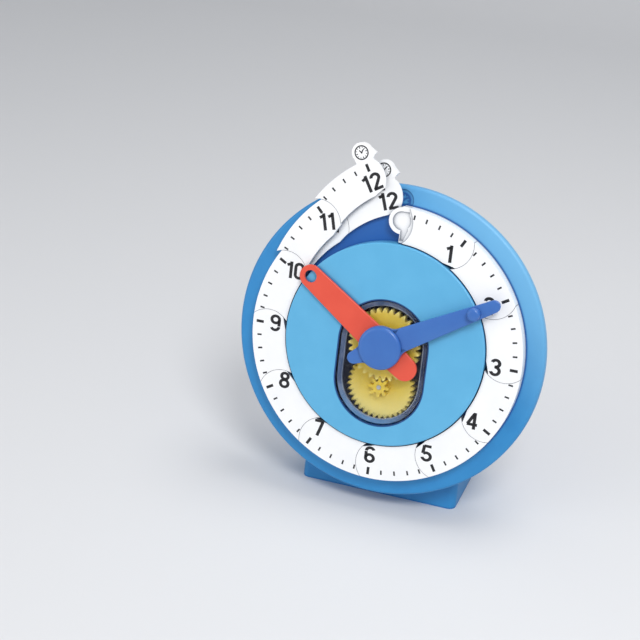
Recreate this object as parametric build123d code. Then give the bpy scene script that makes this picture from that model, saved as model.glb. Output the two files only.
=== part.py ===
from build123d import *
import os
from math import acos, atan2, cos, degrees, hypot, pi, radians, sin, sqrt, tan

# A geared teaching clock. Two stacked number strips of hinged links wrap round a raised dial.
# The model is drawn in the dial's own frame: X right, Y towards 12, Z towards the reader, with
# Z = 0 on the dial's face. The stance at the end leans it back onto its foot. Millimetres.

# Stance and shown time
lean_angle = 12.0
shown_hour = 10
shown_minute = 10

# Dial plate
dial_radius = 70.0
dial_thickness = 2.4
dial_wall = 2.0
dial_edge_round = 0.9
face_to_seat = 10.7

# Number strips
link_count = 12
strip_clearance = 0.8
strip_width = 24.2
link_thickness = 4.4
strip_gap = 0.1
link_end_radius = 16.5
seam_gap = 0.3
pivot_shift = 1.1
pivot_offset_angle = 4.8
cheek_thickness = 1.2
tongue_thickness = 1.5
tongue_radius = 9.2
tongue_play = 0.4
neck_width = 10.0
link_pin_radius = 2.6
link_pin_play = 0.06
link_pin_height = 0.7
link_travel = 30.0
seated_travel = 15.0
swing_play = 0.4

# Strip ends: a round lug on link 1 slips under the lip of link 12
end_lip = 1.3
end_lip_play = 0.25
end_lug_radius = 9.0
end_lug_reach = 85.5
end_lug_angle = 1.0
end_lug_wall = 2.6
end_recess_floor = 1.4
end_recess_length = 9.5
end_keyway_width = 5.0
end_edge_angle = 0.7
end_side_play = 1.8
tab_reach = 100.5
tab_radius = 6.8
tab_neck_width = 12.6
tab_point_size = 9.2
tab_angle = 0.0

# How far the last links of each strip are swung open at rest
upper_open = {11: 13.5, 12: 17.0}
lower_open = {11: 6.0, 12: 12.0}

# Housing
wall = 2.2
seat_margin = 1.3
rim_radius = 108.0
rim_depth = 11.4
rim_round = 2.0
side_draft = 0.2
rear_draft = 11.5
parting_depth = 16.0
housing_depth = 46.0
back_round = 5.0
floor_opening_radius = 55.0
lip_height = 2.4
lip_thickness = 1.6
lip_play = 0.2
tab_pocket_radius = 7.7
tab_pocket_reach = 97.8
tab_pocket_angle = -1.0
tab_pocket_depth = 1.2

# Gear window
window_half_width = 32.0
window_drop = 25.0
window_play = 0.25
window_recess = 0.4
window_panel = 1.6
window_wall = 1.4
window_skirt = 8.6
window_flange = 2.6
window_flange_thickness = 1.4

# Gear train: 12 turns of the minute arbor to one of the hour gear
gear_centres = 30.0
hour_teeth = 32
hour_pinion_teeth = 8
transfer_teeth = 36
minute_teeth = 12
pressure_angle = 25.0
backlash = 0.3
tooth_tip_share = 0.78
tooth_root_share = 1.13
hour_gear_front = 2.8
hour_gear_thickness = 3.8
layer_gap = 1.1
transfer_thickness = 3.3
shaft_radius = 3.0
running_play = 0.05
seat_play = 0.02
tube_radius = 5.0
tube_shoulder = 1.0
tube_play = 0.3
transfer_pin_radius = 1.5
pin_boss_radius = 3.75
pin_recess = 0.3

# Gear chassis and bearing
chassis_radius = 64.5
chassis_thickness = 2.0
bearing_radius = 6.5
bearing_length = 6.1
end_play = 0.2
retainer_radius = 6.0
retainer_thickness = 0.8
shaft_overrun = 0.9

# Hands
hand_clearance = 1.0
hour_hand_thickness = 2.0
hour_hub_radius = 9.9
hour_tip_reach = 67.6
hour_tip_radius = 7.9
hour_tail_reach = 21.2
hour_tail_radius = 8.5
finger_hole_radius = 4.35
washer_radius = 6.5
washer_thickness = 0.6
washer_play = 0.3
minute_hand_thickness = 2.5
minute_hub_radius = 14.9
minute_hub_height = 5.3
minute_hub_round = 1.2
minute_root_radius = 11.3
minute_tip_reach = 83.6
minute_tip_radius = 4.1
minute_tail_reach = 20.4
minute_tail_radius = 6.0
knob_reach = 69.7
knob_radius = 4.3
knob_height = 7.5
knob_round = 1.2
hand_edge_round = 0.5
hub_cover = 1.0

# Screws and their posts
screw_radius = 1.25
screw_head_radius = 2.6
screw_head_height = 1.6
screw_bite = 6.0
pilot_play = 0.05
hole_play = 0.3
head_play = 0.4
dial_boss_radius = 3.4
dial_boss_reach = 60.0
dial_boss_angles = (45, 90, 135, 225, 270, 315)
post_radius = 4.2
post_reach = 88.0
post_count = 6
post_floor = 4.0
pilot_depth = 4.0
post_bite = 3.6
foot_boss_radius = 3.8
foot_boss_height = 6.0

# Foot
foot_width = 114.0
foot_front_depth = 32.3
foot_drop = 116.0
foot_ledge = 86.0
foot_length = 64.0
foot_flange_top = 72.0
foot_flange_thickness = 6.0
foot_heel_height = 9.0
foot_round = 5.0
foot_wall = 3.0
foot_play = 0.15
foot_screw_spacing = 34.0
foot_screw_level = 82.0
foot_counterbore = 2.4
foot_screw_end = 1.0

# Sizes that follow
strip_inner = dial_radius + strip_clearance
strip_outer = strip_inner + strip_width
strip_middle = (strip_inner + strip_outer) / 2
pivot_reach = strip_middle + pivot_shift
hour_pitch_angle = 360.0 / link_count
seat_level = -face_to_seat
lower_level = seat_level + strip_gap
upper_level = lower_level + link_thickness + strip_gap
lean = radians(lean_angle)
stand_height = foot_drop * cos(lean) + foot_front_depth * sin(lean)
minute_angle = 6.0 * shown_minute
hour_angle = 30.0 * shown_hour + shown_minute / 2.0
hour_gear_back = hour_gear_front + hour_gear_thickness
transfer_front = hour_gear_back + layer_gap
transfer_back = transfer_front + transfer_thickness
chassis_front = face_to_seat + wall
chassis_back = chassis_front + chassis_thickness
bearing_back = chassis_front + bearing_length
shaft_back = bearing_back + end_play + retainer_thickness + shaft_overrun
hour_hand_front = hand_clearance + hour_hand_thickness
tube_front = hour_hand_front + seat_play
washer_back = tube_front + washer_play
minute_hand_back = washer_back + washer_thickness + washer_play
hub_front = minute_hand_back + minute_hub_height
shaft_front = hub_front - hub_cover


def on_ring(radius, angle):
    # point at a clockwise angle from 12, as the reader sees it
    return (radius * sin(radians(angle)), radius * cos(radians(angle)))


def slab(outline, back, front):
    return Pos(0, 0, back) * extrude(outline, front - back)


def disc(centre, radius):
    return Pos(*centre) * Circle(radius)


def rod(centre, radius, back, front):
    return slab(disc(centre, radius), back, front)


def ring_turn(angle):
    # a clockwise turn about the dial's centre
    return Rot(0, 0, -angle)


def about(point, angle):
    return Pos(*point) * Rot(0, 0, angle) * Pos(-point[0], -point[1])


def stadium(half_width):
    round_ends = Circle(half_width) + Pos(0, -window_drop) * Circle(half_width)
    return round_ends + Pos(0, -window_drop / 2) * Rectangle(2 * half_width, window_drop)


# Screws

def screw(centre, seat, tip):
    # the head seats at one level and the shank runs to the tip, both towards the reader
    shank = rod(centre, screw_radius, seat, tip)
    head = rod(centre, screw_head_radius, seat - screw_head_height, seat)
    return shank + head


def screw_group(centres, seat, tip):
    return Compound(children=[screw(centre, seat, tip) for centre in centres])


dial_boss_points = [on_ring(dial_boss_reach, angle) for angle in dial_boss_angles]
post_step = 360.0 / post_count
post_points = [on_ring(post_reach, post_step * (k + 0.5)) for k in range(post_count)]
foot_screw_points = [(k * foot_screw_spacing, -foot_screw_level) for k in (-1, 0, 1)]
pilot_radius = screw_radius + pilot_play
screw_hole_radius = screw_radius + hole_play
head_hole_radius = screw_head_radius + head_play


# Dial plate: a round cup turned face out, with a stadium opening over the gears

def dial_plate():
    rim = Cylinder(dial_radius, face_to_seat, align=(Align.CENTER, Align.CENTER, Align.MAX))
    rim = fillet(rim.edges().group_by(Axis.Z)[-1], dial_edge_round)
    plate = rim - rod((0, 0), dial_radius - dial_wall, seat_level, -dial_thickness)
    for point in dial_boss_points:
        plate += rod(point, dial_boss_radius, seat_level, -dial_thickness)
    for point in dial_boss_points:
        plate -= rod(point, pilot_radius, seat_level, seat_level + screw_bite + hole_play)
    return plate - slab(stadium(window_half_width), -2 * dial_thickness, dial_thickness)


# Gear window: a clear raised panel with a skirt, held by a flange behind the dial plate

def gear_window():
    outer = window_half_width - window_play
    back = -window_recess - window_panel - window_skirt
    body = slab(stadium(outer), back, -window_recess)
    body -= slab(stadium(outer - window_wall), back, -window_recess - window_panel)
    flange = stadium(window_half_width + window_flange) - stadium(outer - window_wall)
    body += slab(flange, -dial_thickness - window_flange_thickness, -dial_thickness)
    return body - rod((0, 0), tube_radius + tube_play, back, 0)


# Spur gears, with involute flanks and a tooth centred on a chosen direction

def involute(angle):
    return tan(angle) - angle


def gear_outline(teeth, module, facing):
    # facing turns the gear so that a tooth points that way, anticlockwise from +X
    pitch = module * teeth / 2
    base = pitch * cos(radians(pressure_angle))
    tip = pitch + tooth_tip_share * module
    root = pitch - tooth_root_share * module
    start = max(base, root)
    half_tooth = pi / (2 * teeth) - backlash / (4 * pitch)

    def half_angle(radius):
        return half_tooth + involute(radians(pressure_angle)) - involute(acos(base / radius))

    def at(radius, angle):
        return (radius * cos(angle), radius * sin(angle))

    edges = []
    for k in range(teeth):
        middle = radians(facing) + 2 * pi * k / teeth
        low, high = half_angle(start), half_angle(tip)
        mean = (start + tip) / 2
        foot_in, foot_out = at(root, middle - low), at(root, middle + low)
        if start > root:
            edges.append(Line(foot_in, at(start, middle - low)))
        rising = (at(start, middle - low), at(mean, middle - half_angle(mean)), at(tip, middle - high))
        falling = (at(tip, middle + high), at(mean, middle + half_angle(mean)), at(start, middle + low))
        edges.append(ThreePointArc(*rising))
        edges.append(Line(rising[-1], falling[0]))
        edges.append(ThreePointArc(*falling))
        if start > root:
            edges.append(Line(falling[-1], foot_out))
        next_in = at(root, middle + 2 * pi / teeth - low)
        edges.append(Line(foot_out, next_in))
    return make_face(Wire(edges))


hour_module = 2 * gear_centres / (hour_teeth + hour_pinion_teeth)
minute_module = 2 * gear_centres / (transfer_teeth + minute_teeth)
transfer_centre = (0, -gear_centres)
towards_six = -90.0
towards_twelve = 90.0


def hour_gear():
    # a tooth gap faces the transfer gear, whose pinion has a tooth there
    facing = towards_six + 180.0 / hour_teeth
    gear = slab(gear_outline(hour_teeth, hour_module, facing), -hour_gear_back, -hour_gear_front)
    gear += rod((0, 0), tube_radius + tube_shoulder, -transfer_front + end_play, -hour_gear_back)
    gear += rod((0, 0), tube_radius, -hour_gear_front, tube_front)
    return gear - rod((0, 0), shaft_radius + running_play, -transfer_front, tube_front)


def transfer_gear():
    wheel_facing = towards_twelve + 180.0 / transfer_teeth
    wheel = slab(gear_outline(transfer_teeth, minute_module, wheel_facing), -transfer_back, -transfer_front)
    pinion_outline = gear_outline(hour_pinion_teeth, hour_module, towards_twelve)
    gear = wheel + slab(pinion_outline, -transfer_front, -hour_gear_front)
    gear -= rod((0, 0), transfer_pin_radius + running_play, -transfer_back, -hour_gear_front)
    return Pos(*transfer_centre) * gear


def minute_arbor():
    pinion = slab(gear_outline(minute_teeth, minute_module, towards_six), -transfer_back, -transfer_front)
    collar = rod((0, 0), tube_radius, -chassis_front + end_play, -transfer_back)
    shaft = rod((0, 0), shaft_radius, -shaft_back, shaft_front)
    return pinion + collar + shaft


def arbor_retainer():
    back = -bearing_back - end_play - retainer_thickness
    ring = Circle(retainer_radius) - Circle(shaft_radius + seat_play)
    return slab(ring, back, back + retainer_thickness)


def transfer_pin():
    return rod(transfer_centre, transfer_pin_radius, -chassis_back, -hour_gear_front + pin_recess)


# Gear chassis: a round plate behind the seat, with the bearing and the pin's boss

def gear_chassis():
    plate = rod((0, 0), chassis_radius, -chassis_back, -chassis_front)
    plate += rod((0, 0), bearing_radius, -bearing_back, -chassis_back)
    plate += rod(transfer_centre, pin_boss_radius, -chassis_back, -transfer_back - end_play)
    plate -= rod((0, 0), shaft_radius + running_play, -bearing_back, -chassis_front)
    plate -= rod(transfer_centre, transfer_pin_radius + seat_play, -chassis_back, -transfer_back)
    for point in dial_boss_points:
        plate -= rod(point, screw_hole_radius, -chassis_back, -chassis_front)
    return plate


# Housing: a shallow front shell with the strips' seat and the rim, and a rear shell that narrows backwards

level_margin = 0.01
side_base_radius = rim_radius + side_draft
back_radius = side_base_radius - rear_draft


def turned(points):
    # revolves an outline given as radius and depth pairs about the dial's axis
    outline = make_face(Polyline([(radius, 0, -depth) for radius, depth in points], close=True))
    return revolve(outline, Axis.Z)


def rounded(body, depth, size):
    # rounds the circular edge that a turned body has at one depth
    edges = body.edges().filter_by(GeomType.CIRCLE)
    return fillet(edges.filter_by_position(Axis.Z, -depth - level_margin, -depth + level_margin), size)


def front_housing():
    seat_edge = strip_outer + seat_margin
    body = turned([(0, face_to_seat), (seat_edge, face_to_seat), (rim_radius, rim_depth),
                   (side_base_radius, parting_depth), (0, parting_depth)])
    body = rounded(body, rim_depth, rim_round)
    slope = atan2(rim_depth - face_to_seat, rim_radius - seat_edge)
    inner_rim = rim_radius - wall
    shell = body - turned([(0, chassis_front), (seat_edge - wall * tan(slope / 2), chassis_front),
                           (inner_rim, rim_depth + wall * (1 / cos(slope) - tan(slope))),
                           (side_base_radius - wall, parting_depth), (0, parting_depth)])
    for point in post_points:
        shell += rod(point, post_radius, -parting_depth, -face_to_seat) & body
    for point in post_points:
        shell -= rod(point, pilot_radius, -parting_depth, -parting_depth + pilot_depth)
    shell -= rod((0, 0), floor_opening_radius, -chassis_front, seat_level)
    for point in dial_boss_points:
        shell -= rod(point, screw_hole_radius, -chassis_front, seat_level)
    skin = body - Pos(0, 0, -tab_pocket_depth) * body
    pocket_centre = on_ring(tab_pocket_reach, tab_pocket_angle)
    return shell - (rod(pocket_centre, tab_pocket_radius, -rim_depth - wall, seat_level) & skin)


def rear_cover():
    body = turned([(0, parting_depth), (side_base_radius, parting_depth),
                   (back_radius, housing_depth), (0, housing_depth)])
    body = rounded(body, housing_depth, back_round)
    inner = side_base_radius - wall
    shell = body - turned([(0, parting_depth), (inner, parting_depth),
                           (back_radius - wall, housing_depth - wall), (0, housing_depth - wall)])
    lip_outer = inner - lip_play - side_draft * lip_height / (parting_depth - rim_depth)
    lip = Circle(lip_outer) - Circle(lip_outer - lip_thickness)
    shell += slab(lip, -parting_depth, -parting_depth + lip_height)
    ledge = Circle(inner + wall / 2) - Circle(lip_outer - lip_thickness)
    shell += slab(ledge, -parting_depth - wall, -parting_depth)
    floor = -housing_depth + wall
    for point in post_points:
        shell += rod(point, post_radius, floor, -parting_depth)
    for point in foot_screw_points:
        shell += rod(point, foot_boss_radius, floor, floor + foot_boss_height)
    for point in post_points:
        shell -= rod(point, screw_hole_radius, -housing_depth, -parting_depth)
        shell -= rod(point, head_hole_radius, -housing_depth, -parting_depth - post_floor)
    for point in foot_screw_points:
        shell -= rod(point, pilot_radius, -housing_depth, -housing_depth + foot_boss_height)
    return shell


# Foot: a wedge behind and below the housing, level with the table when the clock leans back

def table_level(depth):
    # the table's height in the dial's frame at a depth behind the face
    return (-stand_height + depth * sin(lean)) / cos(lean)


foot_screw_seat = -housing_depth - foot_flange_thickness + foot_counterbore
foot_screw_tip = -housing_depth + foot_boss_height - foot_screw_end
foot_heel = foot_front_depth + foot_length * cos(lean)


def foot_block():
    front, back, flange = foot_front_depth, housing_depth, housing_depth + foot_flange_thickness
    profile = [(table_level(front), -front), (-foot_ledge, -front), (-foot_ledge, -back),
               (-foot_flange_top, -back), (-foot_flange_top, -flange),
               (table_level(foot_heel) + foot_heel_height, -foot_heel), (table_level(foot_heel), -foot_heel)]
    outline = Plane.YZ * make_face(Polyline(profile, close=True))
    block = extrude(outline, foot_width / 2, both=True)
    corners = block.edges().filter_by(Axis.Y).group_by(Axis.Z)
    return fillet(corners[-1] + corners[0], foot_round)


def foot_hollow():
    # the space under the foot, with its ribs and its screw tubes left standing
    front, back, heel = foot_front_depth + foot_wall, housing_depth + foot_wall, foot_heel - foot_wall
    below = foot_wall * tan(lean) + foot_wall
    profile = [(table_level(front) - below, -front), (-foot_ledge - foot_wall, -front),
               (-foot_ledge - foot_wall, -back), (-foot_flange_top - 2 * foot_wall, -back),
               (table_level(heel) + foot_heel_height - 1.3 * foot_wall, -heel),
               (table_level(heel) - below, -heel)]
    outline = Plane.YZ * make_face(Polyline(profile, close=True))
    hollow = extrude(outline, foot_width / 2 - foot_wall, both=True)
    kept = foot_play + foot_wall
    hollow -= turned([(0, parting_depth), (side_base_radius + kept, parting_depth),
                      (back_radius + kept, housing_depth), (back_radius + kept, back), (0, back)])
    for k in (-1, 0, 1):
        hollow -= Pos(k * foot_screw_spacing, -foot_drop, 0) * Box(foot_wall, 2 * foot_drop, 4 * foot_length)
    for point in foot_screw_points:
        hollow -= rod(point, head_hole_radius + foot_wall, -2 * foot_heel, 0)
    return hollow


def foot():
    saddle = turned([(0, parting_depth - wall), (side_base_radius + foot_play, parting_depth - wall),
                     (side_base_radius + foot_play, parting_depth), (back_radius + foot_play, housing_depth),
                     (0, housing_depth)])
    body = foot_block() - saddle - foot_hollow()
    for point in foot_screw_points:
        body -= rod(point, screw_hole_radius, -2 * foot_heel, -housing_depth)
        body -= rod(point, head_hole_radius, -2 * foot_heel, foot_screw_seat)
    return body


# Links of the number strips. Each is drawn with its hour mark at 12, and turned to its hour.

def pivot(offset=0.0):
    # the hinge pin near a link's clockwise end
    return on_ring(pivot_reach, offset - pivot_offset_angle)


own_pivot = pivot()
previous_pivot = pivot(-hour_pitch_angle)
chord_angle = degrees(atan2(own_pivot[1] - previous_pivot[1], own_pivot[0] - previous_pivot[0]))
band = Circle(strip_outer) - Circle(strip_inner)


def sector_face(start, end):
    reach = 1.5 * strip_outer
    middle = (start + end) / 2
    corners = [(0, 0)] + [on_ring(reach, angle) for angle in (end, middle, start)]
    return make_face(Polyline(corners, close=True))


def sector(start, end):
    # the part of the strip's band between two clockwise angles
    return band & sector_face(start, end)


def link_body():
    straight = sector(-hour_pitch_angle - pivot_offset_angle, -pivot_offset_angle)
    rounded = band & disc(own_pivot, link_end_radius)
    outline = straight + rounded - disc(previous_pivot, link_end_radius + seam_gap)
    # the rounded end clears the dial's edge while a seated link swings out about its own pin
    for share in (0.25, 0.5, 0.75, 1.0):
        outline -= about(own_pivot, share * seated_travel) * Circle(dial_radius + swing_play)
    return slab(outline, 0, link_thickness)


def fork_slot():
    # room in the clockwise end for the next link's tongue through its whole travel
    half = neck_width / 2 + tongue_play
    reach = 1.4 * link_end_radius
    turn = chord_angle - hour_pitch_angle
    corners = [(0, -half, turn), (reach, -half, turn), (reach, 0, turn + link_travel / 2),
               (reach, half, turn + link_travel), (0, half, turn + link_travel)]
    points = []
    for along, across, angle in corners:
        c, s = cos(radians(angle)), sin(radians(angle))
        points.append((own_pivot[0] + along * c - across * s, own_pivot[1] + along * s + across * c))
    outline = disc(own_pivot, tongue_radius + tongue_play) + make_face(Polyline(points, close=True))
    return slab(outline, cheek_thickness, link_thickness - cheek_thickness)


def tongue():
    neck_length = link_end_radius + 4 * seam_gap
    neck = Pos(*previous_pivot) * Rot(0, 0, chord_angle) * Pos(neck_length / 2, 0) * Rectangle(
        neck_length, neck_width)
    outline = disc(previous_pivot, tongue_radius) + neck
    outline -= disc(previous_pivot, link_pin_radius + link_pin_play)
    low = (link_thickness - tongue_thickness) / 2
    return slab(outline, low, low + tongue_thickness)


def hinge_pins():
    # a stub on each cheek, which the cheeks spring apart to let the tongue past
    low, high = cheek_thickness, link_thickness - cheek_thickness
    stubs = rod(own_pivot, link_pin_radius, low / 2, low + link_pin_height)
    return stubs + rod(own_pivot, link_pin_radius, high - link_pin_height, high + low / 2)


lug_top = link_thickness - end_lip - end_lip_play


def start_lug():
    # the first link's lug, which lies under the last link's lip when the strip is closed
    centre = on_ring(end_lug_reach, end_lug_angle)
    plate = sector(end_edge_angle, hour_pitch_angle / 2) & disc(pivot(), link_end_radius + 2 * seam_gap)
    plate += disc(centre, end_lug_radius)
    inside = end_lug_radius - end_lug_wall
    square = Pos(centre[0] + end_recess_length / 4, centre[1]) * Rectangle(end_recess_length / 2, 2 * inside)
    recess = disc(centre, inside) + square
    bottom = strip_inner + end_lug_wall / 2
    right = centre[0] + end_recess_length / 2
    keyway = [(right - end_keyway_width, centre[1]), (right, centre[1]),
              (right, centre[1] - inside), (right - end_keyway_width / 2, bottom),
              (right - end_keyway_width, bottom)]
    recess += make_face(Polyline(keyway, close=True))
    recess = recess & disc(pivot(), link_end_radius)
    lug = slab(plate, 0, lug_top) - slab(recess, end_recess_floor, lug_top)
    return Rot(0, 0, hour_pitch_angle) * lug


def lip_sweep():
    # where the last link's lip swings in over the first link's lug
    near, far = pivot(-hour_pitch_angle), pivot()
    chord = hypot(far[0] - near[0], far[1] - near[1])
    reach = chord + link_end_radius + seam_gap
    along = degrees(atan2(far[1] - near[1], far[0] - near[0]))
    half = Pos(*near) * Rot(0, 0, along) * Pos(0, reach) * Rectangle(2.2 * reach, 2 * reach)
    swept = slab(disc(near, reach) & half, lug_top, link_thickness)
    return Rot(0, 0, hour_pitch_angle) * swept


def end_tab():
    # a round tab outside the last link, with a small point on its clockwise side
    x, y = on_ring(tab_reach, tab_angle)
    half = tab_radius / sqrt(2)
    neck_height = tab_reach - strip_outer + strip_width / 4
    shape = disc((x, y), tab_radius) + Pos(x, y - neck_height / 2) * Rectangle(tab_neck_width, neck_height)
    point = [(x, y), (x + half, y + half), (x + tab_point_size, y - 0.4 * tab_point_size),
             (x + 0.6 * tab_point_size, y - 0.7 * tab_point_size)]
    shape += make_face(Polyline(point, close=True))
    whole = slab(shape - Circle(strip_outer + seam_gap), 0, link_thickness)
    return whole + slab(shape - Circle(strip_outer - wall), link_thickness - end_lip, link_thickness)


def under_lip():
    # the space below the last link's lip, which the first link's lug fills
    clear = degrees((end_lug_radius + end_side_play) / end_lug_reach) - end_lug_angle
    room = Circle(strip_outer + seam_gap) & sector_face(-clear, hour_pitch_angle)
    return slab(room, 0, link_thickness - end_lip)


def number_link(hour):
    link = link_body()
    if hour < link_count:
        link = link - fork_slot() + hinge_pins()
    else:
        link = link - under_lip() + end_tab()
    if hour > 1:
        return ring_turn(hour_pitch_angle * hour) * (link + tongue())
    return ring_turn(hour_pitch_angle * hour) * (link - lip_sweep() + start_lug())


def swung(hour, opening):
    # where a link lies once the links between it and the bottom one are swung open
    place = Location()
    for k in sorted(opening):
        if k <= hour:
            place = place * about(pivot(hour_pitch_angle * (k - 1)), opening[k])
    return place


# Hands, drawn pointing to 12 and turned to the shown time

def long_hull(circles):
    # the outline that two or three circles on the Y axis are wrapped in, as (reach, radius)
    shape = None
    for (a, ra), (b, rb) in zip(circles, circles[1:]):
        tilt = acos((ra - rb) / (b - a))
        side = [(ra * sin(tilt), a + ra * cos(tilt)), (rb * sin(tilt), b + rb * cos(tilt))]
        mirrored = [(-x, y) for x, y in reversed(side)]
        flank = make_face(Polyline(side + mirrored, close=True))
        shape = flank if shape is None else shape + flank
    for reach, radius in circles:
        shape += disc((0, reach), radius)
    return shape


def hour_hand():
    outline = long_hull([(-hour_tail_reach, hour_tail_radius), (0, hour_hub_radius),
                         (hour_tip_reach, hour_tip_radius)])
    hand = slab(outline, hand_clearance, hour_hand_front)
    hand = fillet(hand.edges().group_by(Axis.Z)[-1], hand_edge_round)
    hand -= rod((0, 0), tube_radius + seat_play, 0, hour_hand_front)
    hand -= rod((0, hour_tip_reach), finger_hole_radius, 0, hour_hand_front)
    return ring_turn(hour_angle) * hand


def hand_washer():
    ring = Circle(washer_radius) - Circle(shaft_radius + seat_play)
    return slab(ring, washer_back, washer_back + washer_thickness)


def minute_hand():
    outline = long_hull([(-minute_tail_reach, minute_tail_radius), (0, minute_root_radius),
                         (minute_tip_reach, minute_tip_radius)])
    arm_front = minute_hand_back + minute_hand_thickness
    arm = slab(outline, minute_hand_back, arm_front)
    arm = fillet(arm.edges().group_by(Axis.Z)[-1], hand_edge_round)
    hub = rod((0, 0), minute_hub_radius, minute_hand_back, hub_front)
    hub = fillet(hub.edges().group_by(Axis.Z)[-1], minute_hub_round)
    knob = rod((0, knob_reach), knob_radius, minute_hand_back, minute_hand_back + knob_height)
    knob = fillet(knob.edges().group_by(Axis.Z)[-1], knob_round)
    hand = arm + hub + knob - rod((0, 0), shaft_radius + seat_play, minute_hand_back, shaft_front)
    return ring_turn(minute_angle) * hand


# The stance: the dial's frame leaned back, with the row's origin at the middle of the foot's sole

sole_front = foot_front_depth * cos(lean) + table_level(foot_front_depth) * sin(lean)
stance = Location((0, -sole_front - foot_length / 2, stand_height), (90 - lean_angle, 0, 0))

pieces = {
    "front_housing": front_housing(),
    "rear_cover": rear_cover(),
    "foot": foot(),
    "dial_plate": dial_plate(),
    "gear_window": gear_window(),
    "gear_chassis": gear_chassis(),
    "transfer_pin": transfer_pin(),
    "dial_screws": screw_group(dial_boss_points, -chassis_back, seat_level + screw_bite),
    "rear_screws": screw_group(post_points, -parting_depth - post_floor, -parting_depth + post_bite),
    "foot_screws": screw_group(foot_screw_points, foot_screw_seat, foot_screw_tip),
    "hour_gear": hour_gear(),
    "transfer_gear": transfer_gear(),
    "minute_arbor": minute_arbor(),
    "arbor_retainer": arbor_retainer(),
    "hour_hand": hour_hand(),
    "hand_washer": hand_washer(),
    "minute_hand": minute_hand(),
}
for hour in range(1, link_count + 1):
    link = number_link(hour)
    for strip, level, opening in (("lower", lower_level, lower_open), ("upper", upper_level, upper_open)):
        pieces[f"{strip}_link_{hour:02d}"] = Pos(0, 0, level) * swung(hour, opening) * link

os.makedirs("parts", exist_ok=True)
for name, shape in pieces.items():
    export_step(stance * shape, f"parts/{name}.step")
    print(name, round(shape.volume, 1))
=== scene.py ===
import math

import bmesh
import bpy
from bmesh.types import BMEdge, BMVert
from mathutils import Matrix, Vector


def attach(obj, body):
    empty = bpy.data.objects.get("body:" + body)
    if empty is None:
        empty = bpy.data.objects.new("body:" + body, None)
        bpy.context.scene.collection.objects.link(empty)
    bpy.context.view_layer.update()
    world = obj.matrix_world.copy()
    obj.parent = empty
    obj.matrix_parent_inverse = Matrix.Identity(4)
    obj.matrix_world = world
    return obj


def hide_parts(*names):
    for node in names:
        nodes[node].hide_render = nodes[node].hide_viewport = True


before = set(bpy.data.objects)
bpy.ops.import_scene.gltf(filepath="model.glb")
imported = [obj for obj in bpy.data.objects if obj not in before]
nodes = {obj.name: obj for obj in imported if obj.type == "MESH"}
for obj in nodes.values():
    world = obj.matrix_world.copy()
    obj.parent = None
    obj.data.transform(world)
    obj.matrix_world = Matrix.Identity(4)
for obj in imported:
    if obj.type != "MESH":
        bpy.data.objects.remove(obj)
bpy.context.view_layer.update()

mm = 0.001
hourAngle = 30
minuteAngle = 6
scene = bpy.context.scene

# the dial's frame: X right, Y towards 12, Z towards the reader, millimetres
stand = {"lean": 12.0, "height": 120.181, "back": -39.476}
stance = (Matrix.Translation((0, stand["back"] * mm, stand["height"] * mm))
          @ Matrix.Rotation(math.radians(90 - stand["lean"]), 4, "X") @ Matrix.Scale(mm, 4))

# the two number strips, and how far the links that are peeled open turn at rest
strips = {
    "upper": {"back": -6.1, "front": -1.7, "open": {11: 13.5, 12: 17.0}},
    "lower": {"back": -10.6, "front": -6.2, "open": {11: 6.0, 12: 12.0}},
}
link = {"pivotReach": 84.0, "pivotOffset": 4.8}


def ringPoint(reach, angle):
    turn = math.radians(angle)
    return Vector((reach * math.sin(turn), reach * math.cos(turn), 0))


def turnAbout(point, angle):
    turn = Matrix.Rotation(math.radians(angle), 4, "Z")
    return Matrix.Translation(point) @ turn @ Matrix.Translation(-point)


def linkPlace(strip, hour):
    # from a closed strip's place to where the link lies in the photograph
    place = Matrix.Identity(4)
    for opened, angle in sorted(strips[strip]["open"].items()):
        if opened <= hour:
            pivot = ringPoint(link["pivotReach"], hourAngle * (opened - 1) - link["pivotOffset"])
            place = place @ turnAbout(pivot, angle)
    return place


def only(kind, geometry):
    # the verts, or the edges, among what an operator returns
    return [g for g in geometry if isinstance(g, kind)]


# materials

def srgb(r, g, b):
    def linear(c):
        c /= 255
        return c / 12.92 if c <= 0.04045 else ((c + 0.055) / 1.055) ** 2.4
    return (linear(r), linear(g), linear(b), 1.0)


def newMaterial(name):
    mat = bpy.data.materials.new(name)
    mat.use_nodes = True
    tree = mat.node_tree
    shader = tree.nodes["Principled BSDF"]
    return mat, tree, shader


def addNode(tree, kind, **values):
    node = tree.nodes.new(kind)
    for key, value in values.items():
        if hasattr(node, key):
            setattr(node, key, value)
        else:
            node.inputs[key].default_value = value
    return node


def addNoise(tree, size, detail, roughness):
    coords = addNode(tree, "ShaderNodeTexCoord")
    noise = addNode(tree, "ShaderNodeTexNoise", Scale=size, Detail=detail, Roughness=roughness)
    tree.links.new(coords.outputs["Object"], noise.inputs["Vector"])
    return noise.outputs["Fac"]


def addRange(tree, source, given=(0, 1), wanted=(0, 1), kind="LINEAR"):
    spread = addNode(tree, "ShaderNodeMapRange", interpolation_type=kind)
    for end, value in zip(("From Min", "From Max", "To Min", "To Max"), (*given, *wanted)):
        spread.inputs[end].default_value = value
    tree.links.new(source, spread.inputs["Value"])
    return spread.outputs["Result"]


def addRamp(tree, source, low, high, span=(0, 1)):
    ramp = addNode(tree, "ShaderNodeValToRGB")
    for element, position, colour in zip(ramp.color_ramp.elements, span, (low, high)):
        element.position = position
        element.color = colour
    tree.links.new(source, ramp.inputs["Fac"])
    return ramp.outputs["Color"]


def addBump(tree, shader, source, strength):
    bump = addNode(tree, "ShaderNodeBump", Strength=strength, Distance=plastic["grainDepth"])
    tree.links.new(source, bump.inputs["Height"])
    tree.links.new(bump.outputs["Normal"], shader.inputs["Normal"])


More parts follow.
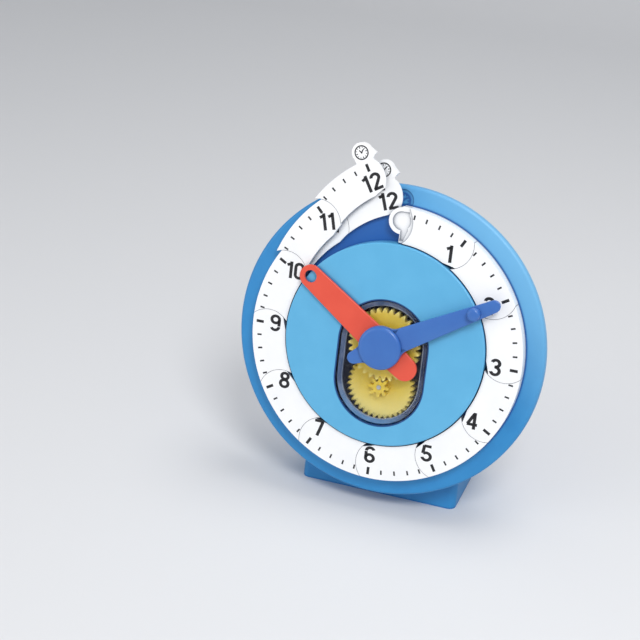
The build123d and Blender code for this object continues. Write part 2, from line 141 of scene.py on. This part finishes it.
def addFade(tree, below, colour, centre, near, far, along):
    # fades a colour in over the distance from a point, or along a direction
    coords = addNode(tree, "ShaderNodeTexCoord")
    reach = addNode(tree, "ShaderNodeVectorMath", operation="DOT_PRODUCT" if along else "DISTANCE")
    reach.inputs[1].default_value = along or centre
    tree.links.new(coords.outputs["Object"], reach.inputs[0])
    share = addRange(tree, reach.outputs["Value"], (near, far), (0, colour[3]), "SMOOTHSTEP")
    blend = addNode(tree, "ShaderNodeMix", data_type="RGBA")
    tree.links.new(share, blend.inputs["Factor"])
    tree.links.new(below, blend.inputs[6])
    blend.inputs[7].default_value = (*colour[:3], 1)
    return blend.outputs[2]


plastic = {"ior": 1.49, "coatRough": 0.15, "grainSize": 2600.0, "grainDepth": 0.0002,
           "drift": (0.3, 0.7), "creviceShade": (0.45, 0.95)}


def mouldedPlastic(name, colour, driftTone, creviceShade, rough, roughSpread, grain, mottle=60.0, coat=0.0,
                   creviceShadeReach=0.0022, fades=()):
    # a fine grain, a slow drift of colour and polish, and painted shade that darkens seams and corners
    mat, tree, shader = newMaterial(name)
    drift = addNoise(tree, mottle, 3.0, 0.55)
    surface = addRamp(tree, drift, driftTone, colour, plastic["drift"])
    # each fade paints a highlight or a shade over the colour
    for fade in fades:
        surface = addFade(tree, surface, **fade)
    # painted shade: ambient occlusion mixes the crevice shade colour into seams, corners and stacked parts
    corner = addNode(tree, "ShaderNodeAmbientOcclusion", samples=8, Distance=creviceShadeReach)
    blend = addNode(tree, "ShaderNodeMix", data_type="RGBA")
    blend.inputs[6].default_value = creviceShade
    tree.links.new(addRange(tree, corner.outputs["AO"], plastic["creviceShade"]), blend.inputs["Factor"])
    tree.links.new(surface, blend.inputs[7])
    tree.links.new(blend.outputs[2], shader.inputs["Base Color"])
    polish = addRange(tree, drift, wanted=(rough - roughSpread, rough + roughSpread))
    tree.links.new(polish, shader.inputs["Roughness"])
    addBump(tree, shader, addNoise(tree, plastic["grainSize"], 2.0, 0.6), grain)
    shader.inputs["IOR"].default_value = plastic["ior"]
    shader.inputs["Coat Weight"].default_value = coat
    shader.inputs["Coat Roughness"].default_value = plastic["coatRough"]
    return mat


clearPanel = {"tint": (0.86, 0.91, 0.97, 1), "smearSize": 90.0, "rough": (0.02, 0.09), "waviness": 0.03,
              "smear": (0.4, 0.65), "haze": (0.16, 0.34)}


def clearPlastic(name):
    mat, tree, shader = newMaterial(name)
    smear = addNoise(tree, clearPanel["smearSize"], 4.0, 0.6)
    tree.links.new(addRange(tree, smear, wanted=clearPanel["rough"]), shader.inputs["Roughness"])
    addBump(tree, shader, smear, clearPanel["waviness"])
    shader.inputs["Base Color"].default_value = clearPanel["tint"]
    shader.inputs["Transmission Weight"].default_value = 1.0
    shader.inputs["IOR"].default_value = plastic["ior"]
    haze = addRange(tree, smear, clearPanel["smear"], clearPanel["haze"])
    tree.links.new(haze, shader.inputs["Alpha"])
    return mat


streak = {"size": 34.0, "span": (0.38, 0.66), "rough": 0.16, "alpha": 0.8}


def streakedClear(name, dark, pale, fades=()):
    # the clear window's moulded edge, coloured with painted streaks of reflected light
    mat, tree, shader = newMaterial(name)
    surface = addRamp(tree, addNoise(tree, streak["size"], 5.0, 0.55), dark, pale, streak["span"])
    for fade in fades:
        surface = addFade(tree, surface, **fade)
    tree.links.new(surface, shader.inputs["Base Color"])
    shader.inputs["Roughness"].default_value = streak["rough"]
    shader.inputs["IOR"].default_value = plastic["ior"]
    shader.inputs["Alpha"].default_value = streak["alpha"]
    return mat


steel = {"colour": (0.56, 0.57, 0.6, 1), "brushSize": 1800.0, "rough": (0.2, 0.42)}


def steelFinish(name):
    mat, tree, shader = newMaterial(name)
    fine = addNoise(tree, steel["brushSize"], 3.0, 0.7)
    tree.links.new(addRange(tree, fine, wanted=steel["rough"]), shader.inputs["Roughness"])
    shader.inputs["Base Color"].default_value = steel["colour"]
    shader.inputs["Metallic"].default_value = 1.0
    return mat


ink = {"wearSize": 900.0, "wear": 1.5, "wearLift": 0.003, "rough": 0.5}


def printedInk(name, colour):
    # a flat colour, paler in specks where print wears; it also colours the painted shade of the window's gap
    # and of the recess sign
    mat, tree, shader = newMaterial(name)
    worn = [c * ink["wear"] + ink["wearLift"] for c in colour[:3]] + [1]
    surface = addRamp(tree, addNoise(tree, ink["wearSize"], 3.0, 0.6), colour, worn)
    tree.links.new(surface, shader.inputs["Base Color"])
    shader.inputs["Roughness"].default_value = ink["rough"]
    return mat


def dialPoint(x, y, level):
    return stance @ Vector((x, y, level))


def faded(colour, share, near, far, centre=(0, 0, 0), along=None):
    tint = (*colour[:3], share)
    return {"colour": tint, "near": near * mm, "far": far * mm, "centre": centre, "along": along}


seatLevel = strips["lower"]["back"]
# painted highlight: the housing grows paler towards its upper right, where the light falls
rimPaintedHighlight = faded(srgb(136, 200, 236), 0.62, 118, 200, along=(0.707, 0, 0.707))
# painted shade: the seat floor darkens inside the dial's edge, where the strips shade it
seatPaintedShade = faded(srgb(30, 92, 170), 0.9, 96.6, 95.2, dialPoint(0, 0, seatLevel))
# painted highlight: each gear grows paler towards its rim and teeth
hourGearHighlight = faded(srgb(255, 244, 160), 0.6, 21, 25.5, dialPoint(0, 0, -3.0))
transferGearHighlight = faded(srgb(255, 242, 160), 0.75, 20, 46, dialPoint(0, -8, -8.0))
# painted shade and painted reflection on the window's edge band: darker towards the right, paler lower down
bandPaintedShade = faded(srgb(30, 52, 92), 0.85, -14, 24, along=(1, 0, 0))
bandPaintedReflection = faded(srgb(104, 158, 208), 0.75, -82, -64, along=(-0.25, 0, -0.97))
# the third colour of each moulded plastic is the painted shade mixed into its seams and corners
finishes = {
    "housing": mouldedPlastic("housingBlue", srgb(44, 138, 200), srgb(38, 131, 194), srgb(24, 86, 158),
                              rough=0.42, roughSpread=0.06, grain=0.06, fades=(rimPaintedHighlight, seatPaintedShade)),
    "dial": mouldedPlastic("dialSkyBlue", srgb(96, 178, 221), srgb(91, 173, 217), srgb(48, 122, 186),
                           rough=0.4, roughSpread=0.05, grain=0.05),
    "white": mouldedPlastic("linkWhite", srgb(250, 250, 250), srgb(245, 246, 248), srgb(138, 144, 156),
                            rough=0.36, roughSpread=0.05, grain=0.04, creviceShadeReach=0.0038),
    "red": mouldedPlastic("hourHandRed", srgb(230, 86, 64), srgb(224, 79, 59), srgb(174, 44, 38),
                          rough=0.34, roughSpread=0.05, grain=0.04, coat=0.1),
    "blue": mouldedPlastic("minuteHandBlue", srgb(60, 112, 186), srgb(56, 105, 181), srgb(46, 84, 156),
                           rough=0.34, roughSpread=0.05, grain=0.04, coat=0.1, creviceShadeReach=0.0009),
    "yellow": mouldedPlastic("hourGearYellow", srgb(238, 208, 78), srgb(230, 196, 62), srgb(168, 124, 34),
                             rough=0.36, roughSpread=0.06, grain=0.05, mottle=34.0, creviceShadeReach=0.0006,
                             fades=(hourGearHighlight,)),
    "gold": mouldedPlastic("transferGearYellow", srgb(236, 204, 64), srgb(226, 192, 54), srgb(168, 124, 34),
                           rough=0.36, roughSpread=0.06, grain=0.05, mottle=34.0, creviceShadeReach=0.0006,
                           fades=(transferGearHighlight,)),
    "dark": mouldedPlastic("chassisDark", srgb(34, 40, 70), srgb(24, 29, 54), srgb(8, 10, 22),
                           rough=0.5, roughSpread=0.08, grain=0.08),
    "clear": clearPlastic("windowClear"),
    # painted reflection streaks on the window's edge band, and a painted highlight on its bead
    "clearEdge": streakedClear("windowEdge", srgb(84, 106, 144), srgb(180, 190, 216), (bandPaintedShade, bandPaintedReflection)),
    "clearBead": streakedClear("windowBead", srgb(120, 136, 164), srgb(206, 214, 226)),
    # painted shade: a dark ring laid in the gap round the gear window
    "gap": printedInk("windowGapShade", srgb(24, 70, 128)),
    "steel": steelFinish("pinSteel"),
    "ink": printedInk("printedBlack", (0.006, 0.006, 0.008, 1)),
    # painted shade: the darker blue of the moulded sign in the recess
    "recessSignShade": printedInk("recessShadeBlue", srgb(26, 84, 150)),
}
nodeFinish = {
    "front_housing": "housing", "rear_cover": "housing", "foot": "housing", "dial_plate": "dial",
    "gear_window": "clear", "gear_chassis": "dark", "transfer_pin": "steel", "dial_screws": "steel",
    "rear_screws": "steel", "foot_screws": "steel", "hour_gear": "yellow", "transfer_gear": "gold",
    "minute_arbor": "yellow", "arbor_retainer": "steel", "hour_hand": "red", "hand_washer": "white",
    "minute_hand": "blue",
}
for name, obj in nodes.items():
    finish = finishes[nodeFinish.get(name, "white")]
    obj.data.materials.clear()
    obj.data.materials.append(finish)
print("materials on", len(nodes), "nodes")


# printing: ticks, numerals and clock signs, laid just proud of a face; a tick is its width and length

printing = {"lift": 0.03, "numeralHeight": 11.6, "numeralReach": 77.4, "weight": 0.168, "stretch": 1.13,
            "tickReach": 89.8, "minuteTick": (1.15, 3.1), "hourTick": (1.95, 5.3), "frontSeam": 23.5,
            "backHeight": 5.2, "backReach": 76.0, "backMinuteTick": (0.9, 4.2), "backHourTick": (0.9, 7.0),
            "backSeam": 22.8, "lineReach": 85.0, "lineWidth": 0.5, "lineRun": 4.2, "lineRuns": 10,
            "lineStart": 21.6, "lineStep": 2.85, "signReach": 100.6, "signRadius": 4.9}

# how far each numeral sits off its hour's spoke, right and up
numeralNudge = {1: (-2.0, 2.4), 2: (0.3, 1.5), 3: (0, 0), 4: (0.2, -0.6), 5: (0.6, -1.4), 6: (0, -0.8),
                7: (0, 0), 8: (-0.4, 0.5), 9: (-1.2, 0.8), 10: (-1.4, 1.0), 11: (-1.6, 2.4), 12: (-1.0, 2.4)}
# marks of the lower strip that the upper one covers in the photograph
coveredNudge = {11: (-4.6, 5.0)}
coveredTick = {12: (-2.7, 0.1)}


def bmeshObject(name, bm, finish, body):
    bmesh.ops.recalc_face_normals(bm, faces=bm.faces)
    mesh = bpy.data.meshes.new(name)
    bm.to_mesh(mesh)
    bm.free()
    mesh.materials.append(finishes[finish])
    obj = bpy.data.objects.new(name, mesh)
    scene.collection.objects.link(obj)
    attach(obj, body)
    return obj


def addPlate(bm, width, height, place, thick):
    bmesh.ops.create_cube(bm, size=1.0, matrix=place @ Matrix.Diagonal((width, height, thick, 1)))


# digits drawn with bars and round bows, on a cell one unit high
# a bow is its centre, radius, start angle and end angle
digits = {
    "0": {"wide": 0.56, "bars": [((-0.2, 0.28), (-0.2, 0.72)), ((0.2, 0.28), (0.2, 0.72))],
          "bows": [((0, 0.72), 0.2, 0, 180), ((0, 0.28), 0.2, 180, 360)]},
    "1": {"wide": 0.46, "bars": [((0.06, 0.0), (0.06, 1.0)), ((-0.17, 0.77), (0.06, 0.87))], "bows": []},
    "2": {"wide": 0.58, "bars": [((-0.26, 0.07), (0.25, 0.07)), ((-0.2, 0.07), (0.155, 0.565))],
          "bows": [((0, 0.7), 0.205, -42, 172)]},
    "3": {"wide": 0.58, "bars": [((-0.05, 0.525), (0.03, 0.525))],
          "bows": [((0, 0.73), 0.195, -90, 165), ((0, 0.29), 0.22, -165, 90)]},
    "4": {"wide": 0.62, "bars": [((0.11, 0.0), (0.11, 1.0)), ((-0.27, 0.285), (0.27, 0.285)),
                                 ((-0.235, 0.3), (0.08, 0.93))], "bows": []},
    "5": {"wide": 0.58, "bars": [((-0.16, 0.93), (0.22, 0.93)), ((-0.15, 0.96), (-0.2, 0.47))],
          "bows": [((0, 0.3), 0.225, -162, 142)]},
    "6": {"wide": 0.58, "bars": [((-0.215, 0.28), (-0.215, 0.68))],
          "bows": [((0, 0.29), 0.215, 0, 360), ((0, 0.715), 0.215, 25, 180)]},
    "7": {"wide": 0.56, "bars": [((-0.25, 0.93), (0.25, 0.93)), ((0.2, 0.92), (-0.06, 0.0))], "bows": []},
    "8": {"wide": 0.58, "bars": [], "bows": [((0, 0.74), 0.185, 0, 360), ((0, 0.29), 0.215, 0, 360)]},
    "9": {"wide": 0.58, "bars": [((0.215, 0.32), (0.215, 0.72))],
          "bows": [((0, 0.71), 0.215, 0, 360), ((0, 0.285), 0.215, 205, 360)]},
}


def addBow(bm, middle, radius, start, end, thick):
    # the stroke's section, spun round the bow's centre
    first = math.radians(start)
    out = Vector((math.cos(first), math.sin(first), 0))
    corners = []
    for side, up in ((-1, -1), (1, -1), (1, 1), (-1, 1)):
        reach = radius + side * printing["weight"] / 2
        corners.append(bm.verts.new(middle + out * reach + Vector((0, 0, up * thick / 2))))
    section = bm.faces.new(corners)
    geometry = [*corners, *section.edges]
    whole = end - start >= 360
    if whole:
        bm.faces.remove(section)
    else:
        geometry.append(section)
    bmesh.ops.spin(bm, geom=geometry, cent=middle, axis=(0, 0, 1), angle=math.radians(end - start),
                   steps=max(6, int((end - start) / 10)), use_merge=whole, use_duplicate=False)


def addGlyphs(bm, text, height, place):
    # strokes on a cell one unit high, then stretched and put in place together
    before = len(bm.verts)
    thick = printing["lift"] / height
    across = -sum(digits[d]["wide"] for d in text) / 2
    for d in text:
        spot = Vector((across + digits[d]["wide"] / 2, -0.5, 0))
        for start, end in digits[d]["bars"]:
            start, end = Vector((*start, 0)), Vector((*end, 0))
            run = end - start
            turn = Matrix.Rotation(math.atan2(run.y, run.x), 4, "Z")
            middle = Matrix.Translation(spot + (start + end) / 2)
            addPlate(bm, run.length, printing["weight"], middle @ turn, thick)
        for centre, radius, start, end in digits[d]["bows"]:
            addBow(bm, spot + Vector((*centre, 0)), radius, start, end, thick)
        across += digits[d]["wide"]
    bm.verts.ensure_lookup_table()
    size = Matrix.Diagonal((height * printing["stretch"], height, height, 1))
    bmesh.ops.transform(bm, matrix=place @ size, verts=bm.verts[before:])


def onFace(reach, angle, level, upright=False):
    spot = Matrix.Translation(ringPoint(reach, angle) + Vector((0, 0, level)))
    return spot if upright else spot @ Matrix.Rotation(math.radians(-angle), 4, "Z")


# a plain clock sign, in shares of its radius; a mark is its width and length, a hand its angle and length
sign = {"inner": 0.83, "sides": 48, "markReach": 0.78, "quarterMark": (0.13, 0.2), "hourMark": (0.1, 0.12),
        "hands": ((-52, 0.62), (28, 0.44)), "handWidth": 0.15,
        "boss": 0.13, "bossSides": 20, "bossLift": 1.05}


def addRing(bm, outer, inner, place, thick):
    # a flat ring: two circles bridged, then given a thickness
    edges = []
    for radius in (outer, inner):
        made = bmesh.ops.create_circle(bm, cap_ends=False, segments=sign["sides"], radius=radius,
                                       matrix=place)
        edges += dict.fromkeys(e for v in made["verts"] for e in v.link_edges)
    faces = bmesh.ops.bridge_loops(bm, edges=edges)["faces"]
    raised = bmesh.ops.extrude_face_region(bm, geom=faces)["geom"]
    bmesh.ops.translate(bm, vec=place.to_3x3() @ Vector((0, 0, thick)), verts=only(BMVert, raised))


def addClockSign(bm, radius, place, thick):
    # a ring, twelve marks, two hands and a boss
    addRing(bm, radius, radius * sign["inner"], place, thick)
    for hour in range(12):
        width, length = sign["quarterMark"] if hour % 3 == 0 else sign["hourMark"]
        turn = place @ Matrix.Rotation(math.radians(hourAngle * hour), 4, "Z")
        middle = Matrix.Translation((0, (sign["markReach"] - length / 2) * radius, thick / 2))
        addPlate(bm, width * radius, length * radius, turn @ middle, thick)
    for angle, length in sign["hands"]:
        turn = place @ Matrix.Rotation(math.radians(angle), 4, "Z")
        middle = Matrix.Translation((0, length * radius / 2, thick / 2))
        addPlate(bm, sign["handWidth"] * radius, length * radius, turn @ middle, thick)
    bmesh.ops.create_circle(bm, cap_ends=True, segments=sign["bossSides"], radius=sign["boss"] * radius,
                            matrix=place @ Matrix.Translation((0, 0, thick * sign["bossLift"])))


def printFront(bm, stripName, hour, place):
    level = strips[stripName]["front"] + printing["lift"] / 2
    tickShift, numeralShift = (0, 0), numeralNudge[hour]
    if stripName == "lower":
        tickShift = coveredTick.get(hour, tickShift)
        numeralShift = coveredNudge.get(hour, numeralShift)
    for minute in range(5):
        width, length = printing["minuteTick"] if minute else printing["hourTick"]
        shift = Matrix.Translation((0, 0, 0) if minute else (*tickShift, 0))
        angle = hourAngle * hour - min(minuteAngle * minute, printing["frontSeam"])
        spot = shift @ onFace(printing["tickReach"], angle, level)
        addPlate(bm, width, length, place @ spot, printing["lift"])
    shift = Matrix.Translation((*numeralShift, 0))
    spot = shift @ onFace(printing["numeralReach"], hourAngle * hour, level, True)
    addGlyphs(bm, str(hour), printing["numeralHeight"], place @ spot)


def printBack(bm, stripName, hour, place):
    # a number line in short straight runs, its ticks and a small numeral, all inside the link
    level = strips[stripName]["back"] - printing["lift"] / 2
    for step in range(printing["lineRuns"]):
        angle = hourAngle * hour - printing["lineStart"] + printing["lineStep"] * step
        spot = place @ onFace(printing["lineReach"], angle, level)
        addPlate(bm, printing["lineRun"], printing["lineWidth"], spot, printing["lift"])
    for minute in range(5):
        width, length = printing["backMinuteTick"] if minute else printing["backHourTick"]
        angle = hourAngle * hour - min(minuteAngle * minute, printing["backSeam"])
        addPlate(bm, width, length, place @ onFace(printing["lineReach"], angle, level), printing["lift"])
    spot = onFace(printing["backReach"], hourAngle * hour, level) @ Matrix.Rotation(math.pi, 4, "Y")
    addGlyphs(bm, str(hour), printing["backHeight"], place @ spot)


for stripName, strip in strips.items():
    for hour in range(1, 13):
        place = stance @ linkPlace(stripName, hour)
        bm = bmesh.new()
        printFront(bm, stripName, hour, place)
        printBack(bm, stripName, hour, place)
        if hour == 12:
            spot = onFace(printing["signReach"], 0, strip["front"], True)
            addClockSign(bm, printing["signRadius"], place @ spot, printing["lift"])
        body = "stand" if hour == 6 else f"{stripName}_link_body_{hour:02d}"
        bmeshObject(f"{stripName}_print_{hour:02d}", bm, "ink", body)
print("numerals and ticks printed")


# the minute hand: tapered arm and tail, webs that run them into the hub, a soft-edged hub and the knob

handShape = {"angle": 60.0, "back": 4.22, "thick": 2.5, "edge": 0.5, "hubRadius": 14.9, "knobReach": 69.7,
             "arm": {"way": 1, "reach": 83.6, "tip": 4.1, "root": 8.9, "web": 10.0},
             "tail": {"way": -1, "reach": 20.6, "tip": 4.3, "root": 8.4, "web": 5.0},
             "hub": [(0, 5.3), (11.9, 5.3), (13.3, 5.16), (14.2, 4.75), (14.7, 4.1), (14.9, 3.3),
                     (14.9, 0.05)],
             "knob": [(0, 7.5), (2.7, 7.5), (3.6, 7.2), (4.15, 6.6), (4.3, 5.8), (4.3, 2.45)]}


def addTaper(bm, root, reach, tip):
    # a plate wrapped round two circles, one on the hub's axis and one out along the hand
    verts = []
    for along, radius in ((0, root), (reach, tip)):
        for level in (handShape["back"], handShape["back"] + handShape["thick"]):
            spot = Matrix.Translation((0, along, level))
            verts += bmesh.ops.create_circle(bm, segments=64, radius=radius, matrix=spot)["verts"]
    hull = bmesh.ops.convex_hull(bm, input=verts)
    inside = only(BMVert, hull["geom_interior"] + hull["geom_unused"])
    bmesh.ops.delete(bm, geom=inside, context="VERTS")


def addTurned(bm, profile, reach):
    # a profile of radius and height spun once round an axis through the hand
    centre = Vector((0, reach, 0))
    foot = centre + Vector((0, 0, handShape["back"]))
    verts = [bm.verts.new(foot + Vector((radius, 0, height))) for radius, height in profile]
    edges = [bm.edges.new(pair) for pair in zip(verts, verts[1:])]
    bmesh.ops.spin(bm, geom=verts + edges, cent=centre, axis=(0, 0, 1), angle=math.tau, steps=72,
                   use_merge=True, use_duplicate=False)


def addWeb(bm, halfWidth, radius, side, way):
    # a concave fillet between the hub's edge and the side of the arm, or of the tail
    hubRadius, back = handShape["hubRadius"], handShape["back"]
    across = halfWidth + radius
    along = math.sqrt((hubRadius + radius) ** 2 - across ** 2)
    centre = Vector((side * across, way * along, back))
    onHub = centre * (hubRadius / (hubRadius + radius))
    onHub.z = back
    onArm = Vector((side * halfWidth, way * along, back))
    turn = (onHub - centre).xy.angle_signed((onArm - centre).xy)
    vert = bm.verts.new(onHub)
    bmesh.ops.spin(bm, geom=[vert], cent=centre, axis=(0, 0, 1), angle=-turn, steps=12, use_duplicate=False)
    loose = [v for v in bm.verts if v.is_valid and not v.link_faces]
    chain = [v for v in loose if abs((v.co - centre).length - radius) < 1e-3]
    chain.sort(key=lambda v: v.co.y * way)
    inner = bm.verts.new((0, way * hubRadius / 2, back))
    face = bm.faces.new([inner, *chain])
    raised = bmesh.ops.extrude_face_region(bm, geom=[face])["geom"]
    bmesh.ops.translate(bm, vec=(0, 0, handShape["thick"]), verts=only(BMVert, raised))


def minuteHand():
    bm = bmesh.new()
    for arm in (handShape["arm"], handShape["tail"]):
        addTaper(bm, arm["root"], arm["way"] * arm["reach"], arm["tip"])
    bmesh.ops.dissolve_limit(bm, angle_limit=math.radians(1), verts=bm.verts, edges=bm.edges)
    top = handShape["back"] + handShape["thick"]
    rims = [e for e in bm.edges if all(abs(v.co.z - top) < 1e-4 for v in e.verts)
            and e.calc_face_angle(0) > math.radians(60)]
    bmesh.ops.bevel(bm, geom=rims, offset=handShape["edge"], segments=3, profile=0.5, affect="EDGES",
                    material=-1)
    for arm in (handShape["arm"], handShape["tail"]):
        meets = (handShape["hubRadius"] + arm["web"] / 3) / arm["reach"]
        halfWidth = arm["root"] - (arm["root"] - arm["tip"]) * meets
        for side in (-1, 1):
            addWeb(bm, halfWidth, arm["web"], side, arm["way"])
    addTurned(bm, handShape["hub"], 0)
    addTurned(bm, handShape["knob"], handShape["knobReach"])
    place = stance @ Matrix.Rotation(math.radians(-handShape["angle"]), 4, "Z")
    bmesh.ops.transform(bm, matrix=place, verts=bm.verts)
    obj = bmeshObject("minute_hand_blended", bm, "blue", "minute_body")
    for face in obj.data.polygons:
        face.use_smooth = True
    obj.data.set_sharp_from_angle(angle=math.radians(38))
    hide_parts("minute_hand")


minuteHand()
print("minute hand shaped")


# the gear window's moulded edge: a dark gap line of painted shade, a streaked band of painted reflection and
# shade and a pale inner bead with a painted highlight, each a closed section of reach and level that is
# carried round the window

window = {"drop": 25.0, "gap": [(31.15, -0.42), (31.9, -0.42), (31.9, -0.3), (31.15, -0.3)],
          "band": [(27.3, -3.3), (30.2, -2.1), (30.2, -2.4), (27.3, -3.6)],
          "bead": [(26.9, -3.5), (27.15, -3.05), (27.45, -2.95), (27.6, -3.4)]}


def sweepStadium(bm, section):
    # a half turn, a straight run, and both again
    drop = Vector((0, -window["drop"], 0))
    verts = [bm.verts.new((reach, 0, level)) for reach, level in section]
    loop = [bm.edges.new(pair) for pair in zip(verts, verts[1:] + verts[:1])]
    for centre, run in ((Vector(), drop), (drop, -drop)):
        last = bmesh.ops.spin(bm, geom=verts + loop, cent=centre, axis=(0, 0, 1), angle=math.pi, steps=28,
                              use_duplicate=False)["geom_last"]
        made = bmesh.ops.extrude_edge_only(bm, edges=only(BMEdge, last))["geom"]
        verts = only(BMVert, made)
        loop = [e for e in only(BMEdge, made) if all(v in verts for v in e.verts)]
        bmesh.ops.translate(bm, vec=run, verts=verts)
    bmesh.ops.remove_doubles(bm, verts=bm.verts, dist=0.001)
    bmesh.ops.transform(bm, matrix=stance, verts=bm.verts)


for part, finish in (("gap", "gap"), ("band", "clearEdge"), ("bead", "clearBead")):
    bm = bmesh.new()
    sweepStadium(bm, window[part])
    bmeshObject(f"window_{part}", bm, finish, "stand")
print("window edged")

# the clock sign moulded on the recess floor, darker blue as painted shade of the recess
recess = {"reach": 97.8, "angle": -1.0, "floor": -12.05, "slope": 3.4, "radius": 5.3, "raised": 0.5}
bm = bmesh.new()
recessFloor = (stance @ Matrix.Rotation(math.radians(-recess["angle"]), 4, "Z")
               @ Matrix.Translation((0, recess["reach"], recess["floor"]))
               @ Matrix.Rotation(math.radians(-recess["slope"]), 4, "X"))
addClockSign(bm, recess["radius"], recessFloor, recess["raised"])
bmeshObject("recess_sign", bm, "recessSignShade", "stand")
print("recess sign moulded")


# floor, light and camera

studio = {"near": 1.6, "far": 1.3, "wide": 3.0, "tall": 2.4, "sweep": 0.6, "pale": (0.74, 0.745, 0.76, 1),
          "rough": 0.75, "sky": (0.95, 0.97, 1.0, 1), "skyPower": 0.5, "target": (0, 0, 0.12)}
lights = {
    "keyLight": {"place": (0.6, -1.0, 1.35), "size": 0.6, "power": 14},
    "fillLight": {"place": (-1.1, -1.1, 0.6), "size": 1.0, "power": 4},
    "topLight": {"place": (0.3, 0.2, 1.5), "size": 0.8, "power": 6},
}


def floorAndBackdrop():
    # a floor that sweeps up into a backdrop
    bm = bmesh.new()
    front = [bm.verts.new((side * studio["wide"], -studio["near"], 0)) for side in (-1, 1)]
    edge = bm.edges.new(front)
    back = bmesh.ops.extrude_edge_only(bm, edges=[edge])["geom"]
    bmesh.ops.translate(bm, vec=(0, studio["near"] + studio["far"], 0), verts=only(BMVert, back))
    rear = [e for e in only(BMEdge, back) if all(v.co.y > studio["far"] - 0.01 for v in e.verts)]
    swept = bmesh.ops.spin(bm, geom=rear + list(rear[0].verts), cent=(0, studio["far"], studio["sweep"]),
                           axis=(1, 0, 0), angle=math.pi / 2, steps=16, use_duplicate=False)["geom_last"]
    wall = bmesh.ops.extrude_edge_only(bm, edges=only(BMEdge, swept))["geom"]
    bmesh.ops.translate(bm, vec=(0, 0, studio["tall"]), verts=only(BMVert, wall))
    for face in bm.faces:
        face.smooth = True
    mesh = bpy.data.meshes.new("floor")
    bm.to_mesh(mesh)
    bm.free()
    mat, tree, shader = newMaterial("paleFloor")
    shader.inputs["Base Color"].default_value = studio["pale"]
    shader.inputs["Roughness"].default_value = studio["rough"]
    mesh.materials.append(mat)
    floor = bpy.data.objects.new("floor", mesh)
    scene.collection.objects.link(floor)


def areaLight(name, place, size, power):
    data = bpy.data.lights.new(name, "AREA")
    data.shape = "DISK"
    data.size = size
    data.energy = power
    obj = bpy.data.objects.new(name, data)
    scene.collection.objects.link(obj)
    obj.location = place
    obj.rotation_euler = (Vector(studio["target"]) - Vector(place)).to_track_quat("-Z", "Y").to_euler()


floorAndBackdrop()
for name, light in lights.items():
    areaLight(name, **light)
world = bpy.data.worlds.new("studio")
world.use_nodes = True
sky = world.node_tree.nodes["Background"]
sky.inputs["Color"].default_value = studio["sky"]
sky.inputs["Strength"].default_value = studio["skyPower"]
scene.world = world
scene.view_settings.view_transform = "Standard"
print("studio lit")

# the photograph's camera, seen from the dial's frame; pixels is its focal length in the 640-pixel picture
view = {"turn": (14.11, -18.01, -6.49), "aside": (42.2, -17.4), "away": 980.0, "pixels": 1458.2,
        "width": 640, "sensor": 36.0}


def photoCamera():
    rx, ry, rz = (math.radians(a) for a in view["turn"])
    turn = Matrix.Rotation(rz, 4, "Z") @ Matrix.Rotation(rx, 4, "X") @ Matrix.Rotation(ry, 4, "Y")
    toCamera = Matrix.Translation((*view["aside"], -view["away"])) @ turn
    data = bpy.data.cameras.new("photoCamera")
    data.sensor_width = view["sensor"]
    data.lens = view["sensor"] * view["pixels"] / view["width"]
    cam = bpy.data.objects.new("photoCamera", data)
    scene.collection.objects.link(cam)
    spot, rotation, _ = (stance @ toCamera.inverted()).decompose()
    cam.location = spot
    cam.rotation_mode = "QUATERNION"
    cam.rotation_quaternion = rotation
    scene.camera = cam


photoCamera()
print("camera set")
